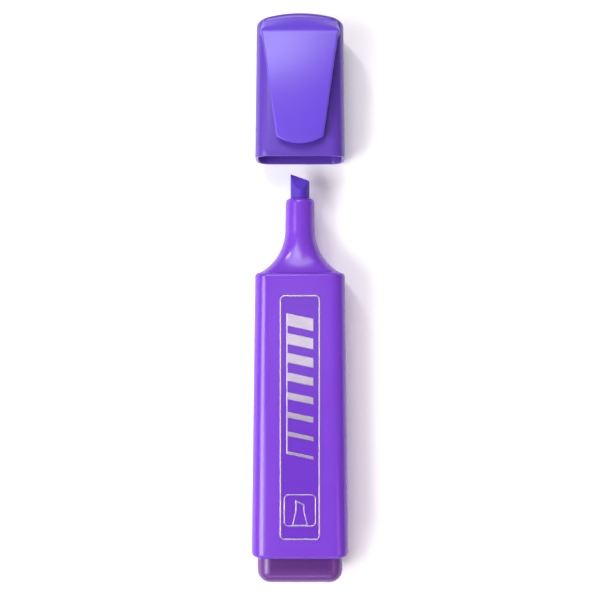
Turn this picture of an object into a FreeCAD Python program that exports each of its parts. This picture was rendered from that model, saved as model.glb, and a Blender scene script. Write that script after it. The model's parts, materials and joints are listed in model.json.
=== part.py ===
"""Flat chisel highlighter: barrel with tail plug, felt nib and ink reservoir, and a push-on cap with a clip.

Frame: the pen lies on its flat back. X runs across the barrel, +Y from the tail to the nib, +Z up.
The origin is the centre of the barrel's flat back face. Millimetres.

The pen's pieces are drawn about the pen's axis with y = 0 at the shoulder, and the cap's pieces with y = 0
at the rim. Their Placements then put them in the row frame, with the cap pulled off ahead of the nib.
"""
import FreeCAD, Part
import math
import os
import re
import Sketcher

SIZES = {
    # Barrel casing
    "barrel_length": 78.6,
    "shoulder_width": 25.1,
    "tail_width": 27.1,
    "thickness": 15.5,
    "section_radius": 4.0,
    "casing_wall": 1.4,
    "shoulder_round": 1.0,
    "tail_lip": 0.2,
    "front_wall": 1.6,
    # Neck and flare
    "flare_length": 12.4,
    "neck_length": 21.0,
    "neck_front_radius": 4.08,
    "neck_root_radius": 4.2,
    "neck_round": 1.3,
    "relief_radius": 5.2,
    "relief_length": 9.0,
    "bore_overrun": 1.0,
    # Guide ribs in the casing
    "rib_width": 1.0,
    "rib_spacing": 12.0,
    "rib_sink": 0.3,
    "rib_clearance": 0.15,
    # Felt nib
    "nib_radius": 2.68,
    "nib_clearance": 0.03,
    "nib_reach": 27.9,
    "nib_tail": 10.0,
    "nib_slant": 2.06,
    "nib_edge": 1.1,
    "nib_facet_length": 4.4,
    # Ink reservoir and its film
    "reservoir_gap": 0.9,
    "reservoir_front": 4.5,
    "reservoir_rear_gap": 2.0,
    "film_wall": 0.15,
    "film_clearance": 0.02,
    # Tail plug
    "plug_length": 7.6,
    "plug_inset": 1.65,
    "plug_wall": 1.4,
    "plug_ease": 0.2,
    "plug_edge": 0.2,
    "plug_skin": 0.35,
    "spigot_length": 6.0,
    "spigot_clearance": 0.03,
    "spigot_draft": 0.2,
    # Foil marking
    "foil_width": 11.0,
    "foil_top_margin": 6.2,
    "foil_bottom_margin": 5.5,
    "foil_line": 0.38,
    "foil_radius": 1.3,
    "foil_depth": 0.08,
    "foil_proud": 0.04,
    "bars_inset": 5.0,
    "bars_height": 7.4,
    "bars_slant": 1.5,
    "bars_icon_gap": 6.4,
    "bar_first": 3.4,
    "bar_last": 0.8,
    "icon_size": 8.8,
    "icon_inset": 3.7,
    "icon_line": 0.3,
    "figure_foot": 2.2,
    "figure_neck": 1.25,
    "figure_waist": -0.45,
    "figure_shoulder": 1.75,
    "figure_slant": 1.1,
    # Cap shell
    "cap_gap": 4.0,
    "cap_wall": 0.9,
    "seat_clearance": 0.2,
    "crown_width": 24.2,
    "crown_arch": 1.9,
    "crown_space": 5.9,
    "crown_round": 1.1,
    "rim_round": 0.25,
    # Sealing sleeve in the cap
    "sleeve_clearance": 0.06,
    "sleeve_wall": 0.9,
    "sleeve_mouth": 13.4,
    "nib_room": 1.6,
    "flange_wall": 1.0,
    "flange_clearance": 0.08,
    # Clip
    "clip_ramp_start": 1.6,
    "clip_ramp_rise": 2.65,
    "clip_ramp_end": 6.0,
    "clip_root_end": 9.0,
    "clip_stand": 3.3,
    "clip_end_stand": 2.7,
    "clip_bow": 0.5,
    "clip_wall": 1.5,
    "clip_root_width": 19.9,
    "clip_end_width": 13.4,
    "clip_end_arch": 2.1,
    "clip_rim_margin": 2.8,
    "clip_sink": 0.55,
    "clip_ramp_edge": 0.14,
    "clip_joint_gap": 0.06,
    "trim_overrun": 3.0,
}

BAR_COUNT = 8
FLARE_SECTIONS = 9

# Where the pen's pieces and the cap's pieces start in the row frame.
PEN_START = "barrel_length / 2"
CAP_START = "cap_start"

# Lengths that follow from the driving sizes. Each name may use the ones above it.
DERIVED = {
    "tail_round": "casing_wall - tail_lip",
    "plug_corner": "section_radius - plug_ease",
    # The plug's end rounding stays clear of the hollow behind it, by plug_skin at the hollow's end.
    "plug_room": "casing_wall + plug_wall - plug_inset - plug_skin",
    "plug_round_limit": "plug_room + plug_wall + sqrt(2 * plug_room * plug_wall)",
    "plug_round": "min(plug_corner - plug_edge; plug_round_limit)",
    "ledge": "cap_wall + seat_clearance",
    "frame_length": "barrel_length - foil_top_margin - foil_bottom_margin",
    "bars_length": "frame_length - bars_inset - bars_icon_gap - icon_size - icon_inset",
    "cavity_height": "thickness - 2 * casing_wall",
    "cavity_radius": "section_radius - casing_wall",
    "film_height": "cavity_height - 2 * reservoir_gap",
    "film_width": "shoulder_width - 2 * casing_wall - 2 * reservoir_gap",
    "film_radius": "cavity_radius",
    "reservoir_length": "barrel_length - reservoir_front - spigot_length - reservoir_rear_gap",
    "sleeve_bore": "neck_root_radius + sleeve_clearance",
    "sleeve_radius": "sleeve_bore + sleeve_wall",
    "sleeve_end": "nib_reach + nib_room",
    "cap_length": "sleeve_end + flange_wall + crown_space + cap_wall + crown_arch",
    "cap_cavity": "cap_length - crown_arch - cap_wall",
    "cap_start": "barrel_length / 2 + nib_reach + cap_gap",
}


def make_sheet(doc):
    """Spreadsheet with one alias for each driving size, and one for each length derived from them."""
    sheet = doc.addObject("Spreadsheet::Sheet", "Sizes")
    row = 0
    for name, value in SIZES.items():
        row += 1
        sheet.set("A%d" % row, name)
        sheet.set("B%d" % row, str(value))
        sheet.setAlias("B%d" % row, name)
    for name, formula in DERIVED.items():
        row += 1
        sheet.set("A%d" % row, name)
        sheet.set("B%d" % row, "=" + formula)
        sheet.setAlias("B%d" % row, name)
    doc.recompute()
    return sheet


def linked(formula):
    """The same formula, with each size name written as a reference to the sheet."""
    return re.sub("[a-z][a-z_]+", lambda word: reference(word.group()), formula)


def reference(word):
    return "Sizes." + word if word in SIZES or word in DERIVED else word


def value_of(sheet, formula):
    return float(sheet.evalExpression(linked(formula)))


def origin_plane(body, role):
    return next(feature for feature in body.Origin.OriginFeatures if feature.Role == role)


class Piece:
    """A PartDesign body with short calls for the sketches and features that the pieces share."""

    def __init__(self, sheet, name):
        self.doc = sheet.Document
        self.sheet = sheet
        self.body = self.doc.addObject("PartDesign::Body", name)

    def sketch(self, role, offset="0"):
        """An empty sketch on an origin plane, moved along the plane's normal by a formula."""
        sketch = self.body.newObject("Sketcher::SketchObject", self.body.Name + "_sketch")
        sketch.AttachmentSupport = [(origin_plane(self.body, role), "")]
        sketch.MapMode = "FlatFace"
        sketch.setExpression("AttachmentOffset.Base.z", linked(offset))
        return sketch

    def place_point(self, sketch, edge, end, across, up):
        """Hold one end of an edge at two formulas, measured from the sketch's origin."""
        for kind, formula in (("DistanceX", across), ("DistanceY", up)):
            amount = value_of(self.sheet, formula)
            index = sketch.addConstraint(Sketcher.Constraint(kind, -1, 1, edge, end, amount))
            sketch.renameConstraint(index, "%s_%d" % (kind.lower(), edge))
            sketch.setExpression("Constraints.%s_%d" % (kind.lower(), edge), linked(formula))

    def outline(self, sketch, corners, arcs=None):
        """A closed outline through corners given as formulas. arcs maps an edge to a signed bulge height."""
        arcs = arcs or {}
        points = [FreeCAD.Vector(value_of(self.sheet, x), value_of(self.sheet, y), 0) for x, y in corners]
        first = sketch.GeometryCount
        count = len(points)
        starts = []
        ends = []
        for index, start in enumerate(points):
            end = points[(index + 1) % count]
            if index not in arcs:
                sketch.addGeometry(Part.LineSegment(start, end), False)
                starts.append(1)
                ends.append(2)
                continue
            side = FreeCAD.Vector(end.y - start.y, start.x - end.x, 0).normalize()
            middle = (start + end) * 0.5 + side * value_of(self.sheet, arcs[index])
            arc = Part.Arc(start, middle, end)
            sketch.addGeometry(arc, False)
            forward = sketch.getPoint(first + index, 1).distanceToPoint(start) < 1e-6
            starts.append(1 if forward else 2)
            ends.append(2 if forward else 1)
        for index, (across, up) in enumerate(corners):
            self.place_point(sketch, first + index, starts[index], across, up)
            following = (index + 1) % count
            sketch.addConstraint(Sketcher.Constraint(
                "Coincident", first + index, ends[index], first + following, starts[following]))
            if index in arcs:
                self.bind_arc(sketch, first + index, corners[index], corners[following], arcs[index])

    def bind_arc(self, sketch, edge, start, end, bulge):
        """Bind an arc's radius to its chord and bulge height."""
        chord = "( ( ( %s ) - ( %s ) ) ^ 2 + ( ( %s ) - ( %s ) ) ^ 2 )" % (end[0], start[0], end[1], start[1])
        formula = "( %s / 4 + ( %s ) ^ 2 ) / ( 2 * abs(%s) )" % (chord, bulge, bulge)
        radius = value_of(self.sheet, formula)
        index = sketch.addConstraint(Sketcher.Constraint("Radius", edge, radius))
        sketch.renameConstraint(index, "radius_%d" % edge)
        sketch.setExpression("Constraints.radius_%d" % edge, linked(formula))

    def rounded_box(self, sketch, width, height, radius, middle_x="0", middle_y="0"):
        """A rectangle with four equal round corners about a middle point."""
        bulge = "( %s ) * ( 1 - 1 / sqrt(2) )" % radius
        corners = []
        for sign_x, sign_y, order in ((1, 1, 0), (-1, 1, 1), (-1, -1, 0), (1, -1, 1)):
            edge_x = "( %s ) + %d * ( %s ) / 2" % (middle_x, sign_x, width)
            edge_y = "( %s ) + %d * ( %s ) / 2" % (middle_y, sign_y, height)
            inner_x = "%s - %d * ( %s )" % (edge_x, sign_x, radius)
            inner_y = "%s - %d * ( %s )" % (edge_y, sign_y, radius)
            pair = [(edge_x, inner_y), (inner_x, edge_y)]
            corners += pair if order == 0 else pair[::-1]
        self.outline(sketch, corners, {index: bulge for index in (0, 2, 4, 6)})

    def circle(self, sketch, radius):
        """A circle about the sketch's origin."""
        edge = sketch.addGeometry(Part.Circle(FreeCAD.Vector(0, 0, 0), FreeCAD.Vector(0, 0, 1),
                                              value_of(self.sheet, radius)), False)
        sketch.addConstraint(Sketcher.Constraint("Coincident", edge, 3, -1, 1))
        index = sketch.addConstraint(Sketcher.Constraint("Radius", edge, value_of(self.sheet, radius)))
        sketch.renameConstraint(index, "radius_%d" % edge)
        sketch.setExpression("Constraints.radius_%d" % edge, linked(radius))

    def feature(self, kind, sketch, length=None, midplane=False, reverse=False):
        """A pad, pocket or other sketch feature. A cut must take material away."""
        before = self.body.Shape.Volume if self.body.Tip else 0.0
        feature = self.body.newObject("PartDesign::" + kind, "%s_%s" % (self.body.Name, kind.lower()))
        feature.Profile = sketch
        feature.Midplane = midplane
        feature.Reversed = reverse
        if length:
            feature.setExpression("Length", linked(length))
        self.doc.recompute()
        if kind == "Pocket" and self.body.Shape.Volume >= before:
            raise ValueError("the pocket in %s removes nothing" % self.body.Name)
        return feature

    def turn(self, sketch):
        """A revolution about the sketch's horizontal axis."""
        feature = self.body.newObject("PartDesign::Revolution", self.body.Name + "_turn")
        feature.Profile = sketch
        feature.ReferenceAxis = (sketch, ["H_Axis"])
        feature.Angle = 360
        self.doc.recompute()
        return feature

    def loft(self, kind, first, second):
        """A ruled loft between two sketches, added or cut away."""
        feature = self.body.newObject("PartDesign::" + kind, self.body.Name + "_loft")
        feature.Profile = first
        feature.Sections = [second]
        feature.Ruled = True
        self.doc.recompute()
        return feature

    def fillet(self, radius, wanted):
        """Round the edges of the present tip that the test picks out."""
        tip = self.body.Tip
        names = ["Edge%d" % (index + 1) for index, edge in enumerate(tip.Shape.Edges) if wanted(edge)]
        feature = self.body.newObject("PartDesign::Fillet", self.body.Name + "_round")
        feature.Base = (tip, names)
        feature.setExpression("Radius", linked(radius))
        self.doc.recompute()
        return feature


def at_height(formula, sheet):
    """Test for edges that lie in the plane y = formula."""
    level = value_of(sheet, formula)
    return lambda edge: edge.BoundBox.YLength < 1e-4 and abs(edge.BoundBox.YMin - level) < 1e-4


def runs_along(edge):
    """Test for straight edges that run nearly along Y."""
    if len(edge.Vertexes) != 2:
        return False
    span = edge.Vertexes[1].Point - edge.Vertexes[0].Point
    return abs(span.y) > 0.9 * span.Length and abs(span.Length - edge.Length) < 1e-4


def place(item, label, start, lift="thickness / 2"):
    """Name a finished sub-part and put it in the row frame."""
    item.Label = label
    item.setExpression("Placement.Base.y", linked(start))
    item.setExpression("Placement.Base.z", linked(lift))
    return item


# ---------------------------------------------------------------- barrel

def make_casing(sheet):
    """The tapered casing, open at the tail, with four ribs that centre the reservoir."""
    piece = Piece(sheet, "casing")
    plan = piece.sketch("XY_Plane")
    piece.outline(plan, [("shoulder_width / 2", "0"), ("-1 * shoulder_width / 2", "0"),
                         ("-1 * tail_width / 2", "-1 * barrel_length"), ("tail_width / 2", "-1 * barrel_length")])
    piece.feature("Pad", plan, "thickness", midplane=True)
    piece.fillet("section_radius", runs_along)
    piece.fillet("shoulder_round", at_height("0", sheet))
    piece.fillet("tail_round", at_height("-1 * barrel_length", sheet))

    tail = piece.sketch("XZ_Plane", "barrel_length")
    piece.rounded_box(tail, "tail_width - 2 * casing_wall", "cavity_height", "cavity_radius")
    front = piece.sketch("XZ_Plane", "front_wall")
    piece.rounded_box(front, "shoulder_width - 2 * casing_wall", "cavity_height", "cavity_radius")
    piece.loft("SubtractiveLoft", tail, front)

    ribs = piece.sketch("XZ_Plane", "front_wall")
    low = "film_height / 2 + rib_clearance"
    high = "cavity_height / 2 + rib_sink"
    for side in (-1, 1):
        for face in (-1, 1):
            left = "%d * rib_spacing / 2 - rib_width / 2" % side
            right = "%d * rib_spacing / 2 + rib_width / 2" % side
            near = "%d * ( %s )" % (face, low)
            far = "%d * ( %s )" % (face, high)
            piece.outline(ribs, [(left, near), (right, near), (right, far), (left, far)])
    piece.feature("Pad", ribs, "reservoir_length + reservoir_front - front_wall")
    return piece.body


def make_neck(sheet):
    """The round neck, with mould draft and a rounded mouth. It starts inside the flare's narrow end."""
    piece = Piece(sheet, "neck")
    side = piece.sketch("YZ_Plane")
    piece.outline(side, [("flare_length", "0"), ("neck_length", "0"),
                         ("neck_length", "neck_front_radius - neck_round"),
                         ("neck_length - neck_round", "neck_front_radius"),
                         ("flare_length", "neck_root_radius")],
                  {2: "neck_round * ( 1 - 1 / sqrt(2) )"})
    piece.turn(side)
    return piece.body


def oval_wire(level, half_width, half_height, corner, spread):
    """A closed smooth outline of eight arcs: four corners, and four sides that bow by the spread angle."""
    sine = math.sin(spread)
    cosine = math.cos(spread)
    lean = math.tan(spread / 2)
    total = (half_width + half_height - 2 * corner * (cosine + lean * sine)) / (1 + lean)
    difference = (half_width - half_height) / (1 - lean)
    centre_x = (total + difference) / 2
    centre_z = (total - difference) / 2
    side_end = (centre_x + corner * cosine, centre_z + corner * sine)
    top_end = (centre_x + corner * sine, centre_z + corner * cosine)
    middle = (centre_x + corner * math.sqrt(0.5), centre_z + corner * math.sqrt(0.5))

    def point(pair, sign_x, sign_z):
        return FreeCAD.Vector(sign_x * pair[0], level, sign_z * pair[1])

    arcs = []
    for sign_x, sign_z in ((1, 1), (-1, 1), (-1, -1), (1, -1)):
        ends = (side_end, top_end) if sign_x * sign_z > 0 else (top_end, side_end)
        arcs.append(Part.Arc(point(ends[0], sign_x, sign_z), point(middle, sign_x, sign_z),
                             point(ends[1], sign_x, sign_z)))
        if sign_x * sign_z > 0:
            crest = FreeCAD.Vector(0, level, sign_z * half_height)
            arcs.append(Part.Arc(point(top_end, sign_x, sign_z), crest, point(top_end, -sign_x, sign_z)))
        else:
            crest = FreeCAD.Vector(sign_x * half_width, level, 0)
            arcs.append(Part.Arc(point(side_end, sign_x, sign_z), crest, point(side_end, sign_x, -sign_z)))
    return Part.Wire([arc.toShape() for arc in arcs])


def make_flare(doc, sheet):
    """The solid that blends the casing's front into the neck along a circular arc tangent to the neck."""
    neck = sheet.neck_root_radius
    base_width = sheet.shoulder_width / 2 - sheet.ledge
    base_height = sheet.thickness / 2 - sheet.ledge
    base_corner = sheet.section_radius - sheet.ledge
    rise = base_width - neck
    arc_radius = (sheet.flare_length ** 2 + rise ** 2) / (2 * rise)
    base_spread = math.radians(1.5)
    round_spread = math.radians(22.5)
    wires = []
    for index in range(FLARE_SECTIONS):
        level = sheet.flare_length * index / (FLARE_SECTIONS - 1)
        to_neck = sheet.flare_length - level
        blend = (arc_radius - math.sqrt(arc_radius ** 2 - to_neck ** 2)) / rise
        spread = round_spread + (base_spread - round_spread) * math.sqrt(blend)
        wires.append(oval_wire(level, neck + rise * blend, neck + (base_height - neck) * blend,
                               neck + (base_corner - neck) * blend, spread))
    flare = doc.addObject("Part::Feature", "flare")
    flare.Shape = Part.makeLoft(wires, True, False)
    return flare


def make_barrel(doc, sheet, foils):
    """Casing, flare and neck in one moulding, bored for the nib and recessed for the foil where that lies."""
    joined = doc.addObject("Part::MultiFuse", "barrel_form")
    joined.Shapes = [make_casing(sheet), make_flare(doc, sheet), make_neck(sheet)]

    bore = doc.addObject("Part::Cylinder", "nib_bore")
    bore.setExpression("Radius", linked("nib_radius + nib_clearance"))
    bore.setExpression("Height", linked("neck_length + front_wall + 2 * bore_overrun"))
    bore.Placement.Rotation = FreeCAD.Rotation(FreeCAD.Vector(1, 0, 0), 90)
    bore.setExpression("Placement.Base.y", linked("neck_length + bore_overrun"))

    relief = doc.addObject("Part::Cone", "relief")
    relief.setExpression("Radius1", linked("nib_radius + nib_clearance"))
    relief.setExpression("Radius2", linked("relief_radius"))
    relief.setExpression("Height", linked("relief_length + front_wall"))
    relief.Placement.Rotation = FreeCAD.Rotation(FreeCAD.Vector(1, 0, 0), 90)
    relief.setExpression("Placement.Base.y", linked("relief_length"))

    marks = doc.addObject("Part::Compound", "foil_recesses")
    marks.Links = foils
    tools = doc.addObject("Part::MultiFuse", "barrel_cuts")
    tools.Shapes = [bore, relief]
    bored = doc.addObject("Part::Cut", "bored_barrel")
    bored.Base = joined
    bored.Tool = tools
    place(bored, "bored_barrel", PEN_START)
    barrel = doc.addObject("Part::Cut", "barrel")
    barrel.Base = bored
    barrel.Tool = marks
    barrel.Label = "barrel"
    return barrel


# ---------------------------------------------------------------- ink parts and tail plug

def make_nib(sheet):
    """Felt rod ground to a slanted chisel edge by a facet on the front and one on the back."""
    piece = Piece(sheet, "nib")
    end = piece.sketch("XZ_Plane", "-1 * nib_reach")
    piece.circle(end, "nib_radius")
    piece.feature("Pad", end, "nib_reach + nib_tail")

    facets = piece.sketch("YZ_Plane")
    for face in (1, -1):
        outer = "%d * ( nib_radius + 1 )" % face
        piece.outline(facets, [("nib_reach - nib_facet_length", "%d * nib_radius" % face),
                               ("nib_reach", "%d * nib_edge / 2" % face),
                               ("nib_reach + 1", "%d * nib_edge / 2" % face),
                               ("nib_reach + 1", outer),
                               ("nib_reach - nib_facet_length", outer)])
    piece.feature("Pocket", facets, "4 * nib_radius", midplane=True)

    slant = piece.sketch("XY_Plane")
    piece.outline(slant, [("-1 * nib_radius", "nib_reach"), ("nib_radius", "nib_reach - nib_slant"),
                          ("nib_radius + 1", "nib_reach - nib_slant"), ("nib_radius + 1", "nib_reach + 1"),
                          ("-1 * nib_radius", "nib_reach + 1")])
    piece.feature("Pocket", slant, "4 * nib_radius", midplane=True)
    return piece.body


def make_reservoir(sheet):
    """Fibre rod that holds the ink, bored at its front for the nib's tail."""
    piece = Piece(sheet, "ink_reservoir")
    section = piece.sketch("XZ_Plane", "reservoir_front")
    inset = "2 * ( film_wall + film_clearance )"
    piece.rounded_box(section, "film_width - %s" % inset, "film_height - %s" % inset,
                      "film_radius - film_wall - film_clearance")
    piece.feature("Pad", section, "reservoir_length")

    socket = piece.sketch("XZ_Plane", "reservoir_front")
    piece.circle(socket, "nib_radius + nib_clearance")
    piece.feature("Pocket", socket, "nib_tail - reservoir_front + nib_clearance", reverse=True)
    return piece.body


def make_film(sheet):
    """Plastic film wrapped round the reservoir."""
    piece = Piece(sheet, "reservoir_film")
    section = piece.sketch("XZ_Plane", "reservoir_front")
    piece.rounded_box(section, "film_width", "film_height", "film_radius")
    piece.rounded_box(section, "film_width - 2 * film_wall", "film_height - 2 * film_wall",
                      "film_radius - film_wall")
    piece.feature("Pad", section, "reservoir_length")
    return piece.body


def make_tail_plug(sheet):
    """Hollow plug pressed into the casing, with a smaller rounded block left outside."""
    piece = Piece(sheet, "tail_plug")
    spigot = piece.sketch("XZ_Plane", "barrel_length - spigot_length")
    piece.rounded_box(spigot, "tail_width - 2 * casing_wall - 2 * spigot_clearance - spigot_draft",
                      "cavity_height - 2 * spigot_clearance", "cavity_radius - spigot_clearance")
    piece.feature("Pad", spigot, "spigot_length")

    block = piece.sketch("XZ_Plane", "barrel_length")
    piece.rounded_box(block, "tail_width - 2 * plug_inset", "thickness - 2 * plug_inset",
                      "plug_corner")
    piece.feature("Pad", block, "plug_length")
    piece.fillet("plug_round", at_height("-1 * barrel_length - plug_length", sheet))

    hollow = piece.sketch("XZ_Plane", "barrel_length - spigot_length")
    inset = "2 * ( casing_wall + plug_wall )"
    piece.rounded_box(hollow, "tail_width - %s" % inset, "thickness - %s" % inset, "cavity_radius")
    piece.feature("Pocket", hollow, "spigot_length + plug_length - plug_wall", reverse=True)
    return piece.body


# ---------------------------------------------------------------- foil marking

FRAME_MIDDLE = "-1 * ( foil_top_margin + frame_length / 2 )"
ICON_MIDDLE = "-1 * ( foil_top_margin + frame_length - icon_inset - icon_size / 2 )"
FOIL_BASE = "thickness / 2 - foil_depth"
FOIL_HEIGHT = "foil_depth + foil_proud"


def make_foil_frame(sheet):
    """Narrow foil line round the marking, with round corners."""
    piece = Piece(sheet, "foil_frame")
    line = piece.sketch("XY_Plane", FOIL_BASE)
    piece.rounded_box(line, "foil_width", "frame_length", "foil_radius", "0", FRAME_MIDDLE)
    piece.rounded_box(line, "foil_width - 2 * foil_line", "frame_length - 2 * foil_line",
                      "foil_radius - foil_line", "0", FRAME_MIDDLE)
    piece.feature("Pad", line, FOIL_HEIGHT)
    return piece.body


def make_foil_bars(sheet):
    """A scale of slanted foil bars on one base line. Each bar is thinner than the one before."""
    piece = Piece(sheet, "foil_bars")
    comb = piece.sketch("XY_Plane", FOIL_BASE)
    base = "-1 * bars_height / 2"
    root = "%s + foil_line" % base
    tip = "bars_height / 2"
    top = "-1 * ( foil_top_margin + bars_inset )"
    corners = []
    for index in range(BAR_COUNT):
        start = "%s - %d * bars_length / %d" % (top, index, BAR_COUNT)
        width = "( bar_first + ( bar_last - bar_first ) * %d / %d )" % (index, BAR_COUNT - 1)
        corners.append((root, start))
        corners.append((tip, "%s - bars_slant" % start))
        corners.append((tip, "%s - bars_slant - %s" % (start, width)))
        corners.append((root, "%s - %s" % (start, width)))
    last = corners[-1][1]
    corners.append((base, last))
    corners.append((base, corners[0][1]))
    piece.outline(comb, corners)
    piece.feature("Pad", comb, FOIL_HEIGHT)
    return piece.body


def make_foil_pictogram(sheet):
    """Rounded square of foil line with the outline of a chisel nib standing in it."""
    piece = Piece(sheet, "foil_pictogram")
    square = piece.sketch("XY_Plane", FOIL_BASE)
    piece.rounded_box(square, "icon_size", "icon_size", "foil_radius", "0", ICON_MIDDLE)
    piece.rounded_box(square, "icon_size - 2 * icon_line", "icon_size - 2 * icon_line",
                      "foil_radius - icon_line", "0", ICON_MIDDLE)
    piece.feature("Pad", square, FOIL_HEIGHT)

    figure = piece.sketch("XY_Plane", FOIL_BASE)
    for inset in ("0", "icon_line"):
        foot = "%s - icon_size / 2 + icon_line / 2 + %s" % (ICON_MIDDLE, inset)
        waist = "%s + figure_waist" % ICON_MIDDLE
        shoulder = "%s + figure_shoulder - %s" % (ICON_MIDDLE, inset)
        wide = "( figure_foot - %s )" % inset
        slim = "( figure_neck - %s )" % inset
        piece.outline(figure, [("-1 * %s" % wide, foot), (wide, foot), (slim, waist), (slim, shoulder),
                               ("-1 * %s" % slim, "%s + figure_slant - %s" % (shoulder, inset)),
                               ("-1 * %s" % slim, waist)])
    piece.feature("Pad", figure, FOIL_HEIGHT)
    return piece.body


# ---------------------------------------------------------------- cap

def cap_half_width(level):
    """Formula for half the shell's outer width at a level above the rim."""
    return "( shoulder_width + ( crown_width - shoulder_width ) * ( %s ) / cap_length ) / 2" % level


def make_cap_shell(sheet):
    """Thin shell with an arched crown, and the ramp on its front from which the clip springs."""
    piece = Piece(sheet, "cap_shell")
    plan = piece.sketch("XY_Plane")
    piece.outline(plan, [("shoulder_width / 2", "0"),
                         ("crown_width / 2", "cap_length - crown_arch"),
                         ("-1 * crown_width / 2", "cap_length - crown_arch"),
                         ("-1 * shoulder_width / 2", "0")], {1: "crown_arch"})
    piece.feature("Pad", plan, "thickness", midplane=True)
    piece.fillet("section_radius", runs_along)
    crown = value_of(sheet, "cap_length - crown_arch - 0.01")
    piece.fillet("crown_round", lambda edge: edge.BoundBox.YMin > crown)
    piece.fillet("rim_round", at_height("0", sheet))

    ramp = piece.sketch("YZ_Plane")
    floor = "thickness / 2 - clip_sink"
    piece.outline(ramp, [("cap_length - clip_ramp_start - crown_arch", floor),
                         ("cap_length - clip_ramp_start - crown_arch", "thickness / 2 - clip_ramp_edge"),
                         ("cap_length - clip_ramp_end", "thickness / 2 + clip_ramp_rise"),
                         ("cap_length - clip_root_end", "thickness / 2 + clip_stand"),
                         ("cap_length - clip_root_end", floor)])
    piece.feature("Pad", ramp, "clip_root_width", midplane=True)

    mouth = piece.sketch("XZ_Plane")
    piece.rounded_box(mouth, "shoulder_width - 2 * cap_wall", "thickness - 2 * cap_wall",
                      "section_radius - cap_wall")
    far = piece.sketch("XZ_Plane", "-1 * cap_cavity")
    piece.rounded_box(far, "2 * %s - 2 * cap_wall" % cap_half_width("cap_cavity"), "thickness - 2 * cap_wall",
                      "section_radius - cap_wall")
    piece.loft("SubtractiveLoft", mouth, far)
    return piece.body


def make_cap_clip(sheet):
    """Tapered, bowed tongue that springs from the ramp, with a rounded free end above the rim."""
    piece = Piece(sheet, "cap_clip")
    root = "cap_length - clip_root_end - clip_joint_gap"
    free = "clip_rim_margin"
    side = piece.sketch("YZ_Plane")
    piece.outline(side, [(root, "thickness / 2 + clip_stand"), (free, "thickness / 2 + clip_end_stand"),
                         (free, "thickness / 2 + clip_end_stand - clip_wall"),
                         (root, "thickness / 2 + clip_stand - clip_wall")],
                  {0: "clip_bow", 2: "-1 * clip_bow"})
    piece.feature("Pad", side, "clip_root_width + 2 * trim_overrun", midplane=True)

    trim = piece.sketch("XY_Plane", "thickness / 2")
    shoulder = "%s + clip_end_arch" % free
    outside = "( clip_root_width / 2 + 2 * trim_overrun )"
    beyond = "%s + trim_overrun" % root
    before = "%s - trim_overrun" % free
    inside = "%s + trim_overrun / 2" % root
    piece.outline(trim, [(outside, beyond), ("-1 * %s" % outside, beyond),
                         ("-1 * %s" % outside, before), (outside, before)])
    piece.outline(trim, [("clip_root_width / 2", inside), ("-1 * clip_root_width / 2", inside),
                         ("-1 * clip_root_width / 2", root), ("-1 * clip_end_width / 2", shoulder),
                         ("clip_end_width / 2", shoulder), ("clip_root_width / 2", root)],
                  {3: "clip_end_arch"})
    piece.feature("Pocket", trim, "2 * clip_stand + trim_overrun", reverse=True)
    return piece.body


def make_inner_cap(sheet):
    """Sealing sleeve that slides over the neck and closes round the nib. A flange holds it in the shell."""
    piece = Piece(sheet, "inner_cap")
    mouth = piece.sketch("XZ_Plane", "-1 * sleeve_mouth")
    piece.circle(mouth, "sleeve_radius")
    piece.feature("Pad", mouth, "sleeve_end + flange_wall - sleeve_mouth", reverse=True)

    flange = piece.sketch("XZ_Plane", "-1 * sleeve_end")
    room = "2 * %s - 2 * cap_wall" % cap_half_width("sleeve_end + flange_wall")
    piece.rounded_box(flange, "%s - 2 * flange_clearance" % room,
                      "thickness - 2 * cap_wall - 2 * flange_clearance", "section_radius - cap_wall")
    piece.feature("Pad", flange, "flange_wall", reverse=True)

    bore = piece.sketch("XZ_Plane", "-1 * sleeve_mouth")
    piece.circle(bore, "sleeve_bore")
    piece.feature("Pocket", bore, "sleeve_end - sleeve_mouth")
    return piece.body


# ---------------------------------------------------------------- assembly

def check_document(doc, nodes):
    """Stop if any feature failed or any sub-part is missing, broken or in more than one solid."""
    for item in doc.Objects:
        if "Invalid" in item.State or "Error" in item.State:
            raise ValueError("%s failed: %s" % (item.Name, item.State))
    for node in nodes:
        if node.Shape.isNull() or not node.Shape.isValid():
            raise ValueError("%s has no valid shape" % node.Label)
        if len(node.Shape.Solids) != 1:
            raise ValueError("%s has %d solids" % (node.Label, len(node.Shape.Solids)))


def main():
    doc = FreeCAD.newDocument("highlighter")
    sheet = make_sheet(doc)
    foils = [place(make_foil_frame(sheet), "foil_frame", PEN_START),
             place(make_foil_bars(sheet), "foil_bars", PEN_START),
             place(make_foil_pictogram(sheet), "foil_pictogram", PEN_START)]
    nodes = foils + [
        make_barrel(doc, sheet, foils),
        place(make_tail_plug(sheet), "tail_plug", PEN_START),
        place(make_nib(sheet), "nib", PEN_START),
        place(make_reservoir(sheet), "ink_reservoir", PEN_START),
        place(make_film(sheet), "reservoir_film", PEN_START),
        place(make_cap_shell(sheet), "cap_shell", CAP_START),
        place(make_cap_clip(sheet), "cap_clip", CAP_START),
        place(make_inner_cap(sheet), "inner_cap", CAP_START),
    ]
    doc.recompute()
    check_document(doc, nodes)
    os.makedirs("parts", exist_ok=True)
    for node in nodes:
        node.Shape.exportStep("parts/%s.step" % node.Label)


main()
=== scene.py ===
"""Looks of a flat chisel highlighter: moulded barrel, felt nib, foil marking, tail plug, and cap with clip.

Everything is in metres in the part's own frame: X across the barrel, +Y from the tail to the nib, +Z up.
"""
import json
import math

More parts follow.
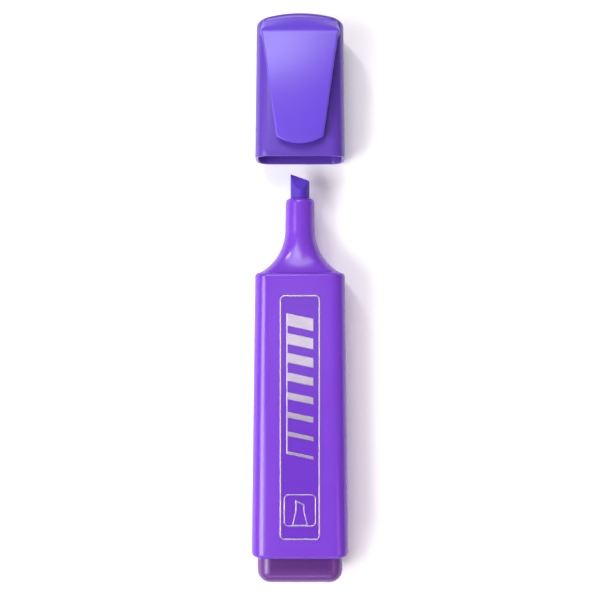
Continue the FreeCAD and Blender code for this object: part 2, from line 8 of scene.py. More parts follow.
import bmesh
import bpy
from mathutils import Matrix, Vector


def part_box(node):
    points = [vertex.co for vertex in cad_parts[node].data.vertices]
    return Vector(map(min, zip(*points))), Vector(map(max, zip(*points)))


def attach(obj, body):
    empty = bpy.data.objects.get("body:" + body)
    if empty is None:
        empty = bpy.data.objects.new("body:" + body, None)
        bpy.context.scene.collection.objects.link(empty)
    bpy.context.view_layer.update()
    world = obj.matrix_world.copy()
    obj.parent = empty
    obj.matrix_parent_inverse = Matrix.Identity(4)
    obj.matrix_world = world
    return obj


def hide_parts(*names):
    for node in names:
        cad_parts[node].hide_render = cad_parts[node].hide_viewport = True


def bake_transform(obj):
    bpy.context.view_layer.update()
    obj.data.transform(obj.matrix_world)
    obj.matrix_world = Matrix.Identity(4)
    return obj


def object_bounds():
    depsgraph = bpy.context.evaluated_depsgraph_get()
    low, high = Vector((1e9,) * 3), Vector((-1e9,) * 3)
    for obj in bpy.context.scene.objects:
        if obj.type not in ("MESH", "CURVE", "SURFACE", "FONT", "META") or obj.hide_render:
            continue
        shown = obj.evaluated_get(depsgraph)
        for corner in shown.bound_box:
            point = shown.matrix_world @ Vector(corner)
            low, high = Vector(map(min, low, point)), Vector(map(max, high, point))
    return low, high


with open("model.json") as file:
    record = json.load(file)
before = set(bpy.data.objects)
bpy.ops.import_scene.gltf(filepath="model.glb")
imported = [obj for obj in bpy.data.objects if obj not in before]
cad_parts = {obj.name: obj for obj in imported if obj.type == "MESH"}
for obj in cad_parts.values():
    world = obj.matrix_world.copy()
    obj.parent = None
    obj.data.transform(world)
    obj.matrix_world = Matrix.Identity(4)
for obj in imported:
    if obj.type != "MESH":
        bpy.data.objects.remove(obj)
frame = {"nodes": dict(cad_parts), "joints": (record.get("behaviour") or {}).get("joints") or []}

bl_info = {
    "name": "Chisel Highlighter",
    "version": (1, 0, 0),
    "blender": (4, 5, 0),
    "location": "View3D > Sidebar > Highlighter",
    "description": "Builds the visible pieces, materials and studio of a flat chisel highlighter",
    "category": "Object",
}

CAD_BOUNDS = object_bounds()
MM = 0.001

BARREL_LOW, BARREL_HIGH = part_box("barrel")
SHELL_LOW, SHELL_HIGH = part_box("cap_shell")
CLIP_LOW, CLIP_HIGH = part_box("cap_clip")
FRAME_LOW, FRAME_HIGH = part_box("foil_frame")
PLUG_LOW, PLUG_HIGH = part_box("tail_plug")
FLEX = next(joint for joint in frame["joints"] if joint["name"] == "clip_flex")

THICKNESS = BARREL_HIGH.z - BARREL_LOW.z
AXIS_Z = THICKNESS / 2
TAIL_Y = BARREL_LOW.y
TAIL_HALF = BARREL_HIGH.x
SHOULDER_Y = -TAIL_Y
SHOULDER_HALF = SHELL_HIGH.x
CAP_LENGTH = SHELL_HIGH.y - SHELL_LOW.y

# Bow of an outline's four sides: nearly flat on the casing and cap, a little more on the clip, and a full
# circle on the neck.
FLAT = math.radians(2)
CROWNED = math.radians(2.5)
ROUND = math.radians(22.5)

# How finely the skins are divided, how far a supporting ring stands from an edge, and the angle from which
# an edge is shaded sharp.
POINTS_PER_ARC = 12
CASING_RINGS = 24
FLARE_RINGS = 28
NECK_RINGS = 6
CROWN_RINGS = 10
CLIP_RINGS = 72
SUPPORT = 0.3 * MM
MOUTH_SUPPORT = SUPPORT / 3
SHARP_ANGLE = math.radians(35)

# The cap's closed end: how far down the shell its arch fades out, and the scale of its middle ring.
ARCH_REACH = 7 * MM
CROWN_CENTRE = 0.01

# The clip: how its ramp curves, how its root fades into the tongue, the length that flexes, the most of the
# half height that an edge's round may take, and the share of that round at the free end.
RAMP_POWER = 1.3
ROOT_FILLET = 0.9 * MM
ROOT_REACH = 1.3 * MM
EDGE_LIMIT = 0.94
TIP_SHARE = 0.8

# Finishes, with painted shade: the polished panel in the foil frame, painted darker, the plug painted darker
# over its hollow, measured in from its side and end, and the fade at the edges of both.
POLYPROPYLENE_IOR = 1.49
PANEL_EDGE = 0.2 * MM
PANEL_SHADE_TINT = "#e6dcf2"
HOLLOW_EDGE = 3.5 * MM
HOLLOW_SHADE_TINT = "#c4a6cc"
HOLLOW_SIDE = 4.6 * MM
HOLLOW_END = 5.2 * MM
FILM_COLOUR = "#e8e4f2"

# The studio: half the floor's width, its glow, the even light all round, and the camera's height.
FLOOR_REACH = 1.2
FLOOR_GLOW = 0.12
WORLD_STRENGTH = 0.16
CAMERA_HEIGHT = 0.243


# ---------------------------------------------------------------- settings

def length(name, description, millimetres):
    """A length property with its default in millimetres."""
    return bpy.props.FloatProperty(name=name, description=description, default=millimetres * MM,
                                   precision=5, unit="LENGTH")


class HighlighterBody(bpy.types.PropertyGroup):
    """Sizes of the moulded barrel and neck."""
    corner: length("Corner", "Radius of the barrel's long corners", 4.0)
    wall: length("Wall", "Thickness of the barrel's wall", 1.4)
    tail_round: length("Tail edge", "Round on the barrel's tail edge", 1.2)
    shoulder_round: length("Shoulder edge", "Round on the barrel's shoulder edge", 1.0)
    ledge: length("Ledge", "Width of the ledge that the cap's rim seats on", 1.1)
    flare: length("Flare", "Length of the flare from the shoulder to the round neck", 12.4)
    neck_root: length("Neck root", "Radius of the neck where the flare ends", 4.2)
    neck_front: length("Neck front", "Radius of the neck at its mouth", 4.08)
    neck_round: length("Neck edge", "Round on the neck's mouth", 1.3)
    bore: length("Nib bore", "Radius of the bore that holds the nib", 2.71)
    relief: length("Relief", "From the shoulder to where the bore starts to widen inside", 9.0)
    relief_radius: length("Relief radius", "Radius of the widened bore at the casing's front wall", 5.2)
    front_wall: length("Front wall", "From the shoulder to the front of the ink chamber", 1.6)


class HighlighterCap(bpy.types.PropertyGroup):
    """Sizes of the cap's shell and its clip."""
    wall: length("Wall", "Thickness of the cap's wall", 0.9)
    corner: length("Corner", "Radius of the cap's long corners", 4.0)
    crown_half: length("Crown half width", "Half the cap's width at its closed end", 12.1)
    crown_arch: length("Crown arch", "Height of the arch across the closed end", 1.9)
    crown_round: length("Crown edge", "Round on the closed end's edge", 1.1)
    rim_round: length("Rim edge", "Round on the rim", 0.25)
    ramp_start: length("Ramp start", "From the closed end to where the ramp starts inside the shell", 0.6)
    ramp_end: length("Ramp end", "From the closed end to the ramp's top", 6.0)
    ramp_sink: length("Ramp sink", "Depth of the ramp's top below the shell's face where it starts", 0.6)
    ramp_depth: length("Ramp depth", "Depth of the ramp's underside below the shell's face", 1.5)
    ramp_narrow: length("Ramp narrowing", "Half width that the ramp loses toward the closed end", 0.5)
    ramp_edge: length("Ramp edge", "Round on the ramp's edges where it leaves the shell", 2.4)
    root_flare: length("Root flare", "Extra half width of the clip where it springs from the ramp", 0.9)
    clip_wall: length("Clip thickness", "Thickness of the clip's tongue", 1.5)
    clip_end: length("Clip end width", "Width of the clip near its free end", 13.4)
    clip_arch: length("Clip end arch", "Height of the arc at the clip's free end", 2.1)
    clip_bow: length("Clip bow", "Height of the clip's bow along its length", 0.5)
    clip_edge: length("Clip edge", "Round on the clip's edges", 0.45)


class HighlighterColours(bpy.types.PropertyGroup):
    """Colours of the plastics, the felt and the foil."""
    casing: bpy.props.StringProperty(
        name="Casing", description="Colour of the moulded barrel, as sRGB hex", default="#7a3fce")
    clip: bpy.props.StringProperty(
        name="Clip", description="Colour of the cap's solid clip, as sRGB hex", default="#724ee4")
    # Painted shade: the cap's shell is the clip's plastic, given a darker colour to stand in for the clip's
    # shadow and the shade on the shell.
    shell: bpy.props.StringProperty(
        name="Cap shell", description="Colour of the cap's hollow shell, as sRGB hex", default="#6a44c4")
    tail: bpy.props.StringProperty(
        name="Tail plug", description="Colour of the translucent tail plug, as sRGB hex", default="#9256bc")
    felt: bpy.props.StringProperty(
        name="Felt", description="Colour of the inked felt, as sRGB hex", default="#5426c6")
    foil: bpy.props.StringProperty(
        name="Foil", description="Colour of the stamped foil, as sRGB hex", default="#e9dcf2")
    floor: bpy.props.StringProperty(
        name="Floor", description="Colour of the studio floor, as sRGB hex", default="#ffffff")


# ---------------------------------------------------------------- material helpers

def linear(hex_colour, alpha=1.0):
    """An sRGB hex colour as linear RGBA."""
    values = [int(hex_colour[index:index + 2], 16) / 255 for index in (1, 3, 5)]
    return tuple(v / 12.92 if v <= 0.04045 else ((v + 0.055) / 1.055) ** 2.4 for v in values) + (alpha,)


def add_node(material, kind, settings=None, inputs=None, links=None):
    """A shader node with its settings, socket values and incoming links."""
    node = material.node_tree.nodes.new(kind)
    for name, value in (settings or {}).items():
        setattr(node, name, value)
    for name, value in (inputs or {}).items():
        node.inputs[name].default_value = value
    for name, source in (links or {}).items():
        material.node_tree.links.new(source, node.inputs[name])
    return node


def start_material(name):
    """A new node material and its Principled shader."""
    material = bpy.data.materials.new(name)
    material.use_nodes = True
    shader = material.node_tree.nodes["Principled BSDF"]
    return material, shader


def link(material, source, target):
    """Join a node's output to an input that already exists."""
    material.node_tree.links.new(source, target)


def colours():
    """The colours set in the sidebar."""
    return bpy.context.scene.highlighter_colours


def band_mask(material, value, low, high, softness):
    """1 where a value lies between low and high, fading to 0 over the softness on both sides."""
    rise = add_node(material, "ShaderNodeMapRange", {"interpolation_type": "SMOOTHSTEP"},
                    {"From Min": low - softness, "From Max": low}, {"Value": value})
    fall = add_node(material, "ShaderNodeMapRange", {"interpolation_type": "SMOOTHSTEP"},
                    {"From Min": high + softness, "From Max": high}, {"Value": value})
    both = add_node(material, "ShaderNodeMath", {"operation": "MULTIPLY"}, None,
                    {0: rise.outputs["Result"], 1: fall.outputs["Result"]})
    return both.outputs["Value"]


def moulded_polypropylene(name, hex_colour):
    """Opaque injection-moulded polypropylene, glossier on the polished panel in the foil frame, with painted
    shade darkening that panel.
    """
    material, shader = start_material(name)
    place = add_node(material, "ShaderNodeTexCoord").outputs["Object"]
    axes = add_node(material, "ShaderNodeSeparateXYZ", links={"Vector": place})
    panel = add_node(material, "ShaderNodeMath", {"operation": "MULTIPLY"}, None,
                     {0: band_mask(material, axes.outputs["X"], FRAME_LOW.x, FRAME_HIGH.x, PANEL_EDGE),
                      1: band_mask(material, axes.outputs["Y"], FRAME_LOW.y, FRAME_HIGH.y, PANEL_EDGE)})
    flow = add_node(material, "ShaderNodeTexNoise", inputs={"Scale": 1 / (14 * MM), "Detail": 3.0},
                    links={"Vector": place})
    tint = add_node(material, "ShaderNodeMix", {"data_type": "RGBA", "blend_type": "MULTIPLY"},
                    {"Factor": 0.1, "A": linear(hex_colour)}, {"B": flow.outputs["Fac"]})
    # Painted shade: the panel inside the foil frame is multiplied darker by the panel tint.
    panel_shade = add_node(material, "ShaderNodeMix", {"data_type": "RGBA", "blend_type": "MULTIPLY"},
                    {"B": linear(PANEL_SHADE_TINT)},
                    {"Factor": panel.outputs["Value"], "A": tint.outputs["Result"]})
    link(material, panel_shade.outputs["Result"], shader.inputs["Base Color"])
    peel = add_node(material, "ShaderNodeTexNoise", inputs={"Scale": 1 / (1.6 * MM), "Detail": 2.0},
                    links={"Vector": place})
    bump = add_node(material, "ShaderNodeBump", inputs={"Strength": 0.08, "Distance": 0.02 * MM},
                    links={"Height": peel.outputs["Fac"]})
    link(material, bump.outputs["Normal"], shader.inputs["Normal"])
    gloss = add_node(material, "ShaderNodeMapRange", inputs={"To Min": 0.21, "To Max": 0.15},
                     links={"Value": panel.outputs["Value"]})
    link(material, gloss.outputs["Result"], shader.inputs["Roughness"])
    shader.inputs["IOR"].default_value = POLYPROPYLENE_IOR
    shader.inputs["Subsurface Weight"].default_value = 0.25
    shader.inputs["Subsurface Radius"].default_value = (1.0, 0.6, 1.6)
    shader.inputs["Subsurface Scale"].default_value = 1.2 * MM
    return material


def frosted_polypropylene(name, hex_colour, roughness, transmission, hollow=None):
    """Translucent injection-moulded polypropylene. Light scatters in it; over a given hollow, painted shade
    darkens the colour.
    """
    material, shader = start_material(name)
    place = add_node(material, "ShaderNodeTexCoord").outputs["Object"]
    flow = add_node(material, "ShaderNodeTexNoise", inputs={"Scale": 1 / (9 * MM), "Detail": 4.0},
                    links={"Vector": place})
    tint = add_node(material, "ShaderNodeMix", {"data_type": "RGBA", "blend_type": "MULTIPLY"},
                    {"Factor": 0.1, "A": linear(hex_colour)}, {"B": flow.outputs["Fac"]})
    colour = tint.outputs["Result"]
    # Painted shade: darker over the hollow's middle and toward the barrel, lighter at the thin side walls and
    # the closed end.
    if hollow:
        axes = add_node(material, "ShaderNodeSeparateXYZ", links={"Vector": place})
        low, high = hollow
        hollow_shade_mask = add_node(material, "ShaderNodeMath", {"operation": "MULTIPLY"}, None,
                        {0: band_mask(material, axes.outputs["X"], -low, low, HOLLOW_EDGE),
                         1: band_mask(material, axes.outputs["Y"], high, 0, HOLLOW_EDGE)})
        shade = add_node(material, "ShaderNodeMix", {"data_type": "RGBA", "blend_type": "MULTIPLY"},
                         {"B": linear(HOLLOW_SHADE_TINT)}, {"Factor": hollow_shade_mask.outputs["Value"], "A": colour})
        colour = shade.outputs["Result"]
    link(material, colour, shader.inputs["Base Color"])
    grain = add_node(material, "ShaderNodeTexNoise", inputs={"Scale": 1 / (0.7 * MM), "Detail": 3.0},
                     links={"Vector": place})
    bump = add_node(material, "ShaderNodeBump", inputs={"Strength": 0.15, "Distance": 0.03 * MM},
                    links={"Height": grain.outputs["Fac"]})
    link(material, bump.outputs["Normal"], shader.inputs["Normal"])
    shader.inputs["Roughness"].default_value = roughness
    shader.inputs["IOR"].default_value = POLYPROPYLENE_IOR
    shader.inputs["Transmission Weight"].default_value = transmission
    return material


def inked_felt(name, hex_colour):
    """Bonded polyester fibre soaked in ink. Fibres run along the rod, so the tone streaks lengthwise."""
    material, shader = start_material(name)
    place = add_node(material, "ShaderNodeTexCoord").outputs["Object"]
    stretched = add_node(material, "ShaderNodeMapping", inputs={"Scale": (1.0, 0.12, 1.0)},
                         links={"Vector": place})
    fibre = add_node(material, "ShaderNodeTexNoise", inputs={"Scale": 1 / (0.25 * MM), "Detail": 4.0},
                     links={"Vector": stretched.outputs["Vector"]})
    tint = add_node(material, "ShaderNodeMix", {"data_type": "RGBA", "blend_type": "MULTIPLY"},
                    {"Factor": 0.45, "A": linear(hex_colour)}, {"B": fibre.outputs["Fac"]})
    link(material, tint.outputs["Result"], shader.inputs["Base Color"])
    bump = add_node(material, "ShaderNodeBump", inputs={"Strength": 0.6, "Distance": 0.08 * MM},
                    links={"Height": fibre.outputs["Fac"]})
    link(material, bump.outputs["Normal"], shader.inputs["Normal"])
    shader.inputs["Roughness"].default_value = 0.62
    shader.inputs["Sheen Weight"].default_value = 0.06
    return material


def stamped_foil(name, hex_colour):
    """Hot-stamped aluminium foil. Pressed edges and faint waves break its reflections into light and dark."""
    material, shader = start_material(name)
    place = add_node(material, "ShaderNodeTexCoord").outputs["Object"]
    wave = add_node(material, "ShaderNodeTexNoise", inputs={"Scale": 1 / (3.0 * MM), "Detail": 3.0},
                    links={"Vector": place})
    pressed = add_node(material, "ShaderNodeBevel", {"samples": 6}, {"Radius": 0.22 * MM})
    bump = add_node(material, "ShaderNodeBump", inputs={"Strength": 0.35, "Distance": 0.05 * MM},
                    links={"Height": wave.outputs["Fac"], "Normal": pressed.outputs["Normal"]})
    link(material, bump.outputs["Normal"], shader.inputs["Normal"])
    tint = add_node(material, "ShaderNodeMix", {"data_type": "RGBA", "blend_type": "MULTIPLY"},
                    {"Factor": 0.2, "A": linear(hex_colour)}, {"B": wave.outputs["Fac"]})
    link(material, tint.outputs["Result"], shader.inputs["Base Color"])
    shader.inputs["Metallic"].default_value = 0.85
    shader.inputs["Roughness"].default_value = 0.22
    return material


def clear_film(name):
    """Thin clear polyester film, smooth and slightly hazy."""
    material, shader = start_material(name)
    place = add_node(material, "ShaderNodeTexCoord").outputs["Object"]
    haze = add_node(material, "ShaderNodeTexNoise", inputs={"Scale": 1 / (2.0 * MM)}, links={"Vector": place})
    bump = add_node(material, "ShaderNodeBump", inputs={"Strength": 0.1, "Distance": 0.02 * MM},
                    links={"Height": haze.outputs["Fac"]})
    link(material, bump.outputs["Normal"], shader.inputs["Normal"])
    shader.inputs["Base Color"].default_value = linear(FILM_COLOUR)
    shader.inputs["Roughness"].default_value = 0.15
    shader.inputs["Transmission Weight"].default_value = 0.8
    return material


def dress(node, material):
    """Give a CAD node one material, with its shading left as packed."""
    materials = frame["nodes"][node].data.materials
    materials.clear()
    materials.append(material)


# ---------------------------------------------------------------- mesh helpers

def oval(half_width, half_height, corner, spread):
    """Points (x, z) of a smooth outline of eight arcs. The four sides bow out by the spread angle."""
    sine = math.sin(spread)
    cosine = math.cos(spread)
    lean = math.tan(spread / 2)
    total = (half_width + half_height - 2 * corner * (cosine + lean * sine)) / (1 + lean)
    difference = (half_width - half_height) / (1 - lean)
    centre_x = (total + difference) / 2
    centre_z = (total - difference) / 2
    side_radius = (centre_z + corner * sine) / sine
    top_radius = (centre_x + corner * sine) / sine
    quarter = []
    for index in range(POINTS_PER_ARC):
        angle = spread * index / POINTS_PER_ARC
        quarter.append((half_width - side_radius * (1 - math.cos(angle)), side_radius * math.sin(angle)))
    for index in range(POINTS_PER_ARC):
        angle = spread + (math.pi / 2 - 2 * spread) * index / POINTS_PER_ARC
        quarter.append((centre_x + corner * math.cos(angle), centre_z + corner * math.sin(angle)))
    for index in range(POINTS_PER_ARC):
        angle = spread * (1 - index / POINTS_PER_ARC)
        quarter.append((top_radius * math.sin(angle), half_height - top_radius * (1 - math.cos(angle))))
    mirrored = [(-x, z) for x, z in reversed(quarter[1:])]
    upper = quarter + [(0, half_height)] + mirrored
    return upper + [(-x, -z) for x, z in upper]


def ring(level, half_width, half_height, corner, spread, middle=AXIS_Z):
    """An oval outline across the pen at a level along it, as 3D points."""
    return [Vector((x, level, middle + z)) for x, z in oval(half_width, half_height, corner, spread)]


def loft(name, rings, material, closed=False):
    """A smooth skin through rings of equal point counts, closed into a loop or with both ends filled."""
    mesh = bpy.data.meshes.new(name)
    count = len(rings[0])
    verts = [point for each in rings for point in each]
    faces = []
    spans = len(rings) if closed else len(rings) - 1
    for row in range(spans):
        here = row * count
        there = (row + 1) % len(rings) * count
        for index in range(count):
            following = (index + 1) % count
            faces.append((here + index, here + following, there + following, there + index))
    if not closed:
        faces.append(tuple(range(count))[::-1])
        faces.append(tuple(range((len(rings) - 1) * count, len(rings) * count)))
    mesh.from_pydata(verts, [], faces)
    mesh.polygons.foreach_set("use_smooth", [True] * len(faces))
    mesh.update()
    shape = bmesh.new()
    shape.from_mesh(mesh)
    bmesh.ops.recalc_face_normals(shape, faces=shape.faces)
    shape.to_mesh(mesh)
    shape.free()
    mesh.set_sharp_from_angle(angle=SHARP_ANGLE)
    mesh.materials.append(material)
    piece = bpy.data.objects.new(name, mesh)
    bpy.context.scene.collection.objects.link(piece)
    return piece


def mix(low, high, share):
    """The value a share of the way from low to high."""
    return low + (high - low) * share


def ease(share):
    """Smooth step from 0 to 1."""
    share = min(max(share, 0.0), 1.0)
    return share * share * (3 - 2 * share)


def turn_steps(count=6):
    """Angles through a quarter turn, both ends included."""
    return [math.pi / 2 * index / count for index in range(count + 1)]


# ---------------------------------------------------------------- pieces

def barrel_rings(body):
    """Rings along the barrel's outside from the tail to the neck's mouth, then back along its inside."""
    def casing(level, inset):
        share = (level - TAIL_Y) / (SHOULDER_Y - TAIL_Y)
        return ring(level, mix(TAIL_HALF, SHOULDER_HALF, share) - inset, AXIS_Z - inset,
                    body.corner - inset, FLAT)

    def neck(level, radius):
        return ring(level, radius, radius, radius, ROUND)

    rings = []
    tail = body.tail_round
    for angle in turn_steps():
        rings.append(casing(TAIL_Y + tail * (1 - math.cos(angle)), tail * (1 - math.sin(angle))))
    first = TAIL_Y + tail + SUPPORT
    last = SHOULDER_Y - body.shoulder_round - SUPPORT
    for index in range(CASING_RINGS + 1):
        rings.append(casing(mix(first, last, index / CASING_RINGS), 0))
    edge = body.shoulder_round
    for angle in turn_steps():
        rings.append(casing(SHOULDER_Y - edge * (1 - math.sin(angle)), edge * (1 - math.cos(angle))))

    base_half = SHOULDER_HALF - body.ledge
    base_height = AXIS_Z - body.ledge
    base_corner = body.corner - body.ledge
    rise = base_half - body.neck_root
    arc = (body.flare ** 2 + rise ** 2) / (2 * rise)
    for index in range(FLARE_RINGS + 1):
        level = body.flare * index / FLARE_RINGS
        blend = (arc - math.sqrt(arc ** 2 - (body.flare - level) ** 2)) / rise
        rings.append(ring(SHOULDER_Y + level, mix(body.neck_root, base_half, blend),
                          mix(body.neck_root, base_height, blend), mix(body.neck_root, base_corner, blend),
                          mix(ROUND, FLAT, math.sqrt(blend))))

    mouth = BARREL_HIGH.y - body.neck_round
    start = SHOULDER_Y + body.flare
    for index in range(1, NECK_RINGS + 1):
        share = index / NECK_RINGS
        rings.append(neck(mix(start, mouth - SUPPORT, share), mix(body.neck_root, body.neck_front, share)))
    for angle in turn_steps():
        rings.append(neck(mouth + body.neck_round * math.sin(angle),
                          body.neck_front - body.neck_round * (1 - math.cos(angle))))
    front_wall = SHOULDER_Y - body.front_wall
    rings.append(neck(BARREL_HIGH.y - MOUTH_SUPPORT, body.bore))
    rings.append(neck(SHOULDER_Y + body.relief, body.bore))
    rings.append(neck(front_wall, body.relief_radius))
    rings.append(casing(front_wall, body.wall))
    rings.append(casing(TAIL_Y, body.wall))
    return rings


class HIGHLIGHTER_OT_barrel(bpy.types.Operator):
    """Mould the barrel: casing, ledge, flare and neck in one skin"""
    bl_idname = "highlighter.barrel"
    bl_label = "Barrel"

    def execute(self, context):
        material = moulded_polypropylene("casing_moulded_polypropylene", colours().casing)
        piece = loft("barrel_moulding", barrel_rings(context.scene.highlighter_body), material, closed=True)
        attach(piece, "pen")
        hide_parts("barrel")
        return {"FINISHED"}


class HIGHLIGHTER_OT_ink_parts(bpy.types.Operator):
    """Dress the felt nib, the reservoir and its film"""
    bl_idname = "highlighter.ink_parts"
    bl_label = "Nib and reservoir"

    def execute(self, context):
        dress("nib", inked_felt("nib_inked_felt", colours().felt))
        dress("ink_reservoir", inked_felt("reservoir_inked_fibre", colours().felt))
        dress("reservoir_film", clear_film("reservoir_clear_film"))
        return {"FINISHED"}


class HIGHLIGHTER_OT_foil(bpy.types.Operator):
    """Dress the stamped foil marking"""
    bl_idname = "highlighter.foil"
    bl_label = "Foil marking"

    def execute(self, context):
        foil = stamped_foil("stamped_aluminium_foil", colours().foil)
        for node in ("foil_frame", "foil_bars", "foil_pictogram"):
            dress(node, foil)
        return {"FINISHED"}


class HIGHLIGHTER_OT_tail_plug(bpy.types.Operator):
    """Dress the translucent tail plug"""
    bl_idname = "highlighter.tail_plug"
    bl_label = "Tail plug"

    def execute(self, context):
        # The plug's hollow gets painted shade in its material.
        hollow = (PLUG_HIGH.x - HOLLOW_SIDE, PLUG_LOW.y + HOLLOW_END)
        dress("tail_plug",
              frosted_polypropylene("tail_frosted_polypropylene", colours().tail, 0.25, 0.45, hollow))
        return {"FINISHED"}


def shell_rings(cap):
    """Rings of the cap's shell, from the middle of its closed end down the outside, then up the inside."""
    crown = CAP_LENGTH - cap.crown_arch

    def shell(level, inset, scale=1.0, warp=None):
        half = mix(SHOULDER_HALF, cap.crown_half, level / CAP_LENGTH)
        points = ring(SHELL_LOW.y + level, half - inset, AXIS_Z - inset, cap.corner - inset, FLAT)
        if warp is None:
            warp = ease((level - crown + ARCH_REACH) / ARCH_REACH)
        for point in points:
            point.x *= scale
            point.z = mix(AXIS_Z, point.z, scale)
            point.y += warp * cap.crown_arch * (1 - (point.x / half) ** 2)
        return points

    rings = [shell(crown, cap.crown_round, index / CROWN_RINGS + CROWN_CENTRE)
             for index in range(CROWN_RINGS)]
    edge = cap.crown_round
    for angle in turn_steps():
        rings.append(shell(crown - edge * (1 - math.cos(angle)), edge * (1 - math.sin(angle)), warp=1.0))
    first = crown - edge
    rim = cap.rim_round
    for index in range(1, CASING_RINGS + 1):
        rings.append(shell(mix(first, rim, index / CASING_RINGS), 0))
    for angle in turn_steps(4)[1:]:
        rings.append(shell(rim * (1 - math.sin(angle)), rim * (1 - math.cos(angle))))
    for angle in turn_steps(4):
        rings.append(shell(rim * (1 - math.cos(angle)), cap.wall - rim * (1 - math.sin(angle))))
    cavity = crown - cap.wall
    for index in range(1, CASING_RINGS + 1):
        rings.append(shell(mix(rim, cavity, index / CASING_RINGS), cap.wall, warp=0.0))
    rings += [shell(cavity, cap.wall, 1 + CROWN_CENTRE - index / CROWN_RINGS, 0.0)
              for index in range(1, CROWN_RINGS + 1)]
    return rings


def clip_rings(cap):
    """Rings across the clip, from its ramp inside the shell's closed end to its rounded free end."""
    top_limit = CLIP_HIGH.z
    root = SHELL_HIGH.y - FLEX["pos_m"][1]
    end = SHELL_HIGH.y - CLIP_LOW.y
    root_half = CLIP_HIGH.x
    end_half = cap.clip_end / 2
    stand = FLEX["pos_m"][2] - THICKNESS - cap.clip_bow
    bow = top_limit - THICKNESS - stand

    def section(distance, inset=0.0):
        along = (distance - cap.ramp_end) / (end - cap.ramp_end)
        climb = min(1.0, (distance - cap.ramp_start) / (cap.ramp_end - cap.ramp_start))
        top = mix(THICKNESS - cap.ramp_sink, THICKNESS + stand, 1 - (1 - climb) ** RAMP_POWER)
        if along > 0:
            top += bow * 4 * along * (1 - along)
        sunk = THICKNESS - cap.ramp_depth
        bottom = mix(sunk, top - cap.clip_wall, ease((distance - root + ROOT_FILLET) / (2 * ROOT_FILLET)))
        half = mix(root_half, end_half, max(0.0, (distance - root) / (end - cap.clip_arch - root)))
        flare = cap.root_flare * math.exp(-max(0.0, distance - cap.ramp_end) / ROOT_REACH)
        half = min(half, root_half) + flare
        half -= cap.ramp_narrow * (1 - ease(climb))
        height = (top - bottom) / 2 - inset
        edge = min(mix(cap.ramp_edge, cap.clip_edge, ease(climb ** 2)), height * EDGE_LIMIT)
        points = ring(0, half - inset, height, edge, CROWNED, (top + bottom) / 2)
        for point in points:
            drop = cap.clip_arch * min(1.0, (point.x / end_half) ** 2)
            drop = drop * max(0.0, distance - root) / (end - root)
            fall = cap.crown_arch * (point.x / cap.crown_half) ** 2 * (1 - ease(climb))
            point.y = SHELL_HIGH.y - distance + drop - fall
        return points

    edge = cap.clip_edge * TIP_SHARE
    rings = [section(mix(cap.ramp_start, end - edge, index / CLIP_RINGS)) for index in range(CLIP_RINGS + 1)]
    for angle in turn_steps(5)[1:]:
        rings.append(section(end - edge * (1 - math.sin(angle)), edge * (1 - math.cos(angle))))
    return rings


class HIGHLIGHTER_OT_cap(bpy.types.Operator):
    """Mould the cap's shell, and dress its sealing sleeve"""
    bl_idname = "highlighter.cap"
    bl_label = "Cap"

    def execute(self, context):
        # The shell's darker colour is painted shade; the sealing sleeve shares it.
        plastic = frosted_polypropylene("shell_shaded_frosted_polypropylene", colours().shell, 0.27, 0.2)
        dress("inner_cap", plastic)
        piece = loft("cap_moulding", shell_rings(context.scene.highlighter_cap), plastic)
        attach(piece, "cap")
        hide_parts("cap_shell")
        return {"FINISHED"}


class HIGHLIGHTER_OT_clip(bpy.types.Operator):
    """Mould the clip and its ramp from the cap's closed end"""
    bl_idname = "highlighter.clip"
    bl_label = "Clip"

    def execute(self, context):
        plastic = frosted_polypropylene("clip_frosted_polypropylene", colours().clip, 0.27, 0.2)
        piece = loft("clip_moulding", clip_rings(context.scene.highlighter_cap), plastic)
        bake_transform(piece)
        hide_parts("cap_clip")
        return {"FINISHED"}


# ---------------------------------------------------------------- studio

def aim(thing, target):
    """Turn a light so that it faces a point."""
    thing.rotation_euler = (Vector(target) - thing.location).to_track_quat("-Z", "Y").to_euler()


def soft_box(name, location, target, size, power, hex_colour="#ffffff"):
    """A rectangular area light aimed at a point."""
    light = bpy.data.lights.new(name, "AREA")
    light.shape = "RECTANGLE"
    light.size, light.size_y = size
    light.energy = power
    light.color = linear(hex_colour)[:3]
    box = bpy.data.objects.new(name, light)
    bpy.context.scene.collection.objects.link(box)
    box.location = location
    aim(box, target)


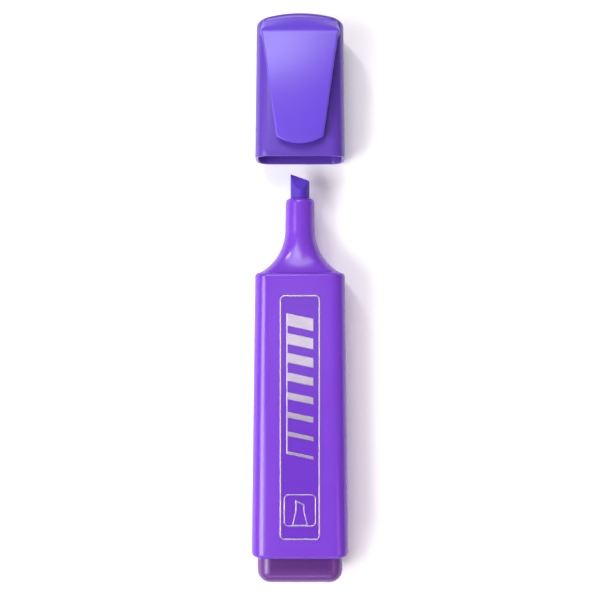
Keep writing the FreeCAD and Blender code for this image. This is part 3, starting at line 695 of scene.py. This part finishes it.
class HIGHLIGHTER_OT_stage(bpy.types.Operator):
    """Build the pale floor, the soft lights and the camera"""
    bl_idname = "highlighter.stage"
    bl_label = "Studio"

    def execute(self, context):
        middle = (CAD_BOUNDS[0][1] + CAD_BOUNDS[1][1]) / 2
        mesh = bpy.data.meshes.new("studio_floor")
        corners = [(x * FLOOR_REACH, y * FLOOR_REACH, 0) for x, y in ((-1, -1), (1, -1), (1, 1), (-1, 1))]
        mesh.from_pydata(corners, [], [(0, 1, 2, 3)])
        floor = bpy.data.objects.new("studio_floor", mesh)
        context.scene.collection.objects.link(floor)
        material, shader = start_material("white_paper_floor")
        shader.inputs["Base Color"].default_value = linear(colours().floor)
        shader.inputs["Roughness"].default_value = 0.9
        shader.inputs["Emission Color"].default_value = linear(colours().floor)
        shader.inputs["Emission Strength"].default_value = FLOOR_GLOW
        mesh.materials.append(material)

        target = (0, middle, 0)
        soft_box("window_light", (-0.42, -0.1, 0.48), target, (0.44, 0.28), 3.3)
        soft_box("strip_light", (-0.2, -0.16, 0.45), (0, middle - 0.06, 0), (0.14, 0.2), 0.3)
        soft_box("crown_light", (0, middle + 0.4, 0.5), target, (0.3, 0.12), 0.6)
        soft_box("sheen_light", (-0.12, 0.4, 0.75), (0, 0.09, 0), (0.3, 0.14), 1.3)
        soft_box("glint_light", (-0.17, 0.32, 0.32), (0, 0.045, 0), (0.03, 0.1), 0.42)
        soft_box("ceiling_light", (0, -0.16, 0.76), (0, -0.16, 0), (0.3, 0.46), 0.06)
        soft_box("marking_light", (0, 0.0, 0.75), (0, 0, 0), (0.16, 0.14), 0.07)
        soft_box("tail_light", (0, -0.45, 0.35), (0, -0.04, 0), (0.5, 0.04), 0.4)
        soft_box("pink_strip", (0.24, -0.15, 0.32), (0, middle - 0.06, 0), (0.07, 0.2), 0.14, "#ff9cd0")

        world = bpy.data.worlds.new("studio_world")
        context.scene.world = world
        world.use_nodes = True
        background = world.node_tree.nodes["Background"]
        background.inputs["Color"].default_value = linear("#ffffff")
        background.inputs["Strength"].default_value = WORLD_STRENGTH

        lens = bpy.data.cameras.new("camera")
        lens.sensor_width = 36
        lens.lens = 50
        lens.clip_start = 0.01
        camera = bpy.data.objects.new("camera", lens)
        context.scene.collection.objects.link(camera)
        camera.location = (0, middle, CAMERA_HEIGHT)
        camera.rotation_euler = (0, 0, 0)
        context.scene.camera = camera
        context.scene.view_settings.view_transform = "Standard"
        return {"FINISHED"}


class HIGHLIGHTER_PT_panel(bpy.types.Panel):
    """Sizes, colours and one button for each piece"""
    bl_idname = "HIGHLIGHTER_PT_panel"
    bl_label = "Highlighter"
    bl_space_type = "VIEW_3D"
    bl_region_type = "UI"
    bl_category = "Highlighter"

    def draw(self, context):
        layout = self.layout
        scene = context.scene
        for group in (scene.highlighter_body, scene.highlighter_cap, scene.highlighter_colours):
            for name in group.__annotations__:
                layout.prop(group, name)
        for operator in OPERATORS:
            layout.operator(operator.bl_idname)


GROUPS = (HighlighterBody, HighlighterCap, HighlighterColours)
OPERATORS = (HIGHLIGHTER_OT_barrel, HIGHLIGHTER_OT_ink_parts, HIGHLIGHTER_OT_foil, HIGHLIGHTER_OT_tail_plug,
             HIGHLIGHTER_OT_cap, HIGHLIGHTER_OT_clip, HIGHLIGHTER_OT_stage)


def register():
    """Add the settings, operators and panel."""
    for item in GROUPS + OPERATORS + (HIGHLIGHTER_PT_panel,):
        bpy.utils.register_class(item)
    bpy.types.Scene.highlighter_body = bpy.props.PointerProperty(type=HighlighterBody)
    bpy.types.Scene.highlighter_cap = bpy.props.PointerProperty(type=HighlighterCap)
    bpy.types.Scene.highlighter_colours = bpy.props.PointerProperty(type=HighlighterColours)


def unregister():
    """Take away what register added."""
    del bpy.types.Scene.highlighter_colours
    del bpy.types.Scene.highlighter_cap
    del bpy.types.Scene.highlighter_body
    for item in reversed(GROUPS + OPERATORS + (HIGHLIGHTER_PT_panel,)):
        bpy.utils.unregister_class(item)


def main():
    """Build every piece and the studio."""
    register()
    bpy.ops.highlighter.barrel()
    bpy.ops.highlighter.ink_parts()
    bpy.ops.highlighter.foil()
    bpy.ops.highlighter.tail_plug()
    bpy.ops.highlighter.cap()
    bpy.ops.highlighter.clip()
    bpy.ops.highlighter.stage()


if __name__ == "__main__":
    main()
